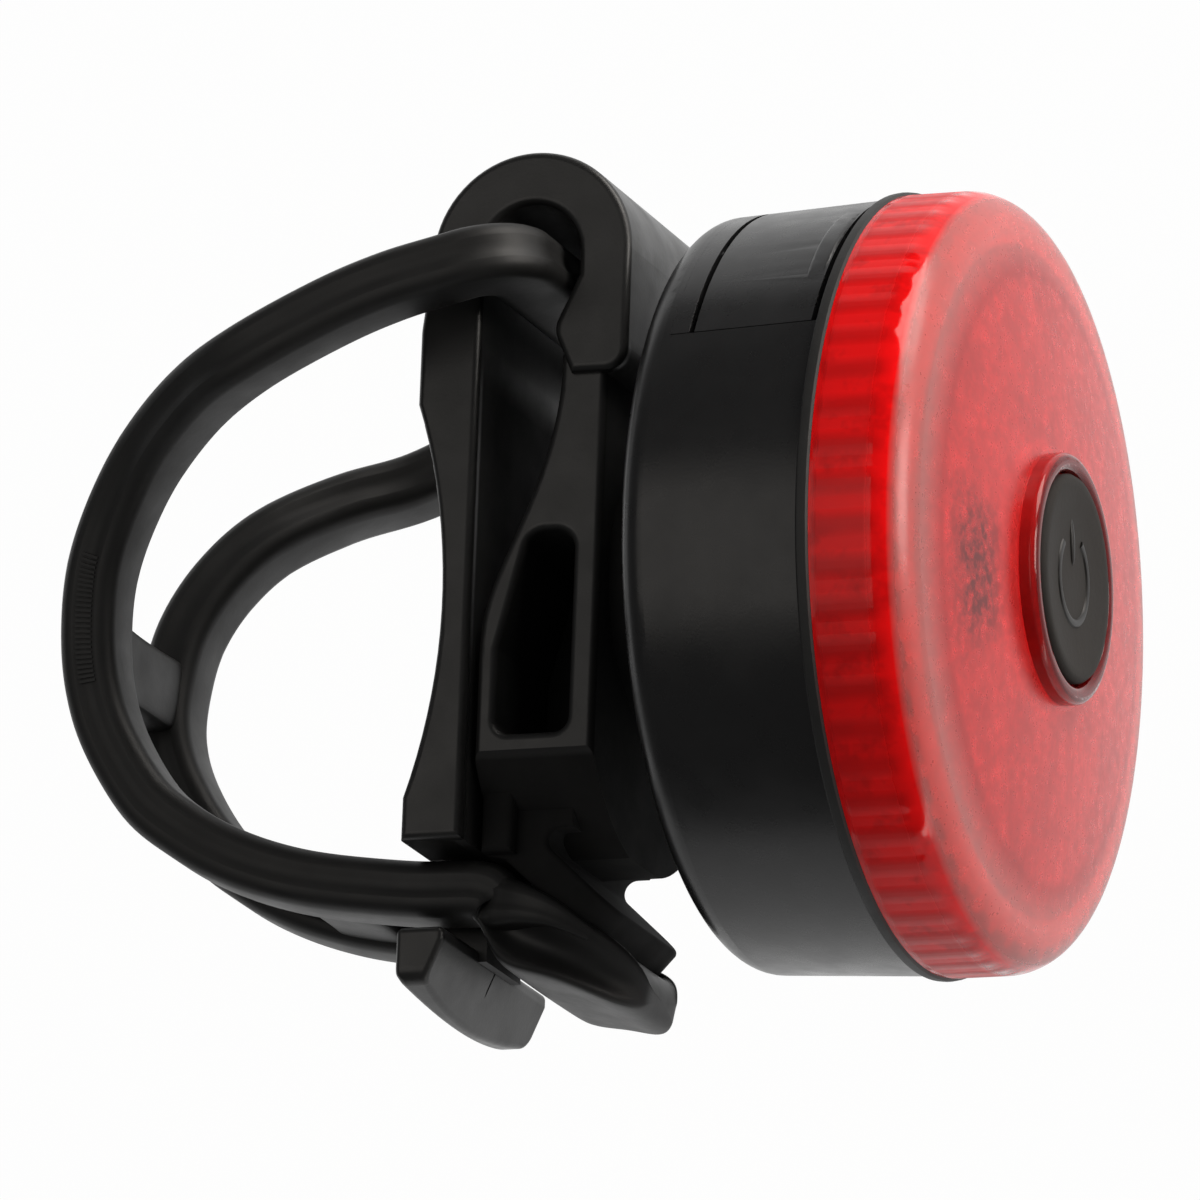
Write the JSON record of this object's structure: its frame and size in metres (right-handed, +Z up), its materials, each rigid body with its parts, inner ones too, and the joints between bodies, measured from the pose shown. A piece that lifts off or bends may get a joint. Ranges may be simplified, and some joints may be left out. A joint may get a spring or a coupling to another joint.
{
  "type": "bike rear light",
  "caption": "Round rechargeable bike rear light with a domed red lens and centre button, on a clip bracket with a T-shaped hook and a rubber ladder strap for an upright post.",
  "frame": {"origin": "middle of the saddle face that lies against the post", "axes": "+Z up the post, +Y out of the saddle towards the post (the lamp shines towards -Y), +X from the hook towards the eyelet"},
  "size_m": [0.0444, 0.0533, 0.0406],
  "materials": {
    "housing_plastic": "satin",
    "bracket_plastic": "satin, lightly textured",
    "strap_rubber": "satin",
    "button_rubber": "matte",
    "cover_rubber": "matte",
    "seal_rubber": "matte",
    "lens_red": "clear red, glossy",
    "inner_lens_red": "pebbled, light red",
    "board_laminate": "white solder mask",
    "led_white": "glossy",
    "chip_black": "matte",
    "part_tan": "satin",
    "switch_plastic": "satin",
    "steel": "plated",
    "cell_foil": "satin foil",
    "foam": "soft foam",
    "lead_red": "satin",
    "lead_black": "satin",
    "socket_plastic": "satin"
  },
  "bodies": {
    "lamp": {"rear_housing": "housing_plastic", "lens": "lens_red", "lens_seal": "seal_rubber", "inner_lens": "inner_lens_red", "led_board": "board_laminate", "board_screws": "steel", "leds": "led_white", "controller_chip": "chip_black", "board_parts": "part_tan", "charge_led": "led_white", "switch_body": "switch_plastic", "switch_cover": "steel", "switch_legs": "steel", "usb_shell": "steel", "usb_insert": "socket_plastic", "port_cover_root": "cover_rubber", "battery_cell": "cell_foil", "battery_pad": "foam", "battery_lead_red": "lead_red", "battery_lead_black": "lead_black", "bracket_screws": "steel", "clip_bracket": "bracket_plastic", "strap": "strap_rubber"},
    "button": {"power_button": "button_rubber", "switch_plunger": "switch_plastic"},
    "port_cover": {"port_cover": "cover_rubber"}
  },
  "joints": [
    {"name": "button_press", "type": "slide", "parent": "lamp", "child": "button", "axis": [0, 1, 0], "range_m": [0, 0.0004], "stiffness_N_per_m": 1500, "springref_m": -0.0002},
    {"name": "port_cover_hinge", "type": "hinge", "parent": "lamp", "child": "port_cover", "pos_m": [0.01649, -0.0164, 0.0129], "axis": [-0.6561, 0, 0.7547], "range_deg": [0, 100], "stiffness_Nm_per_rad": 0.001, "springref_deg": -17.19}
  ]
}
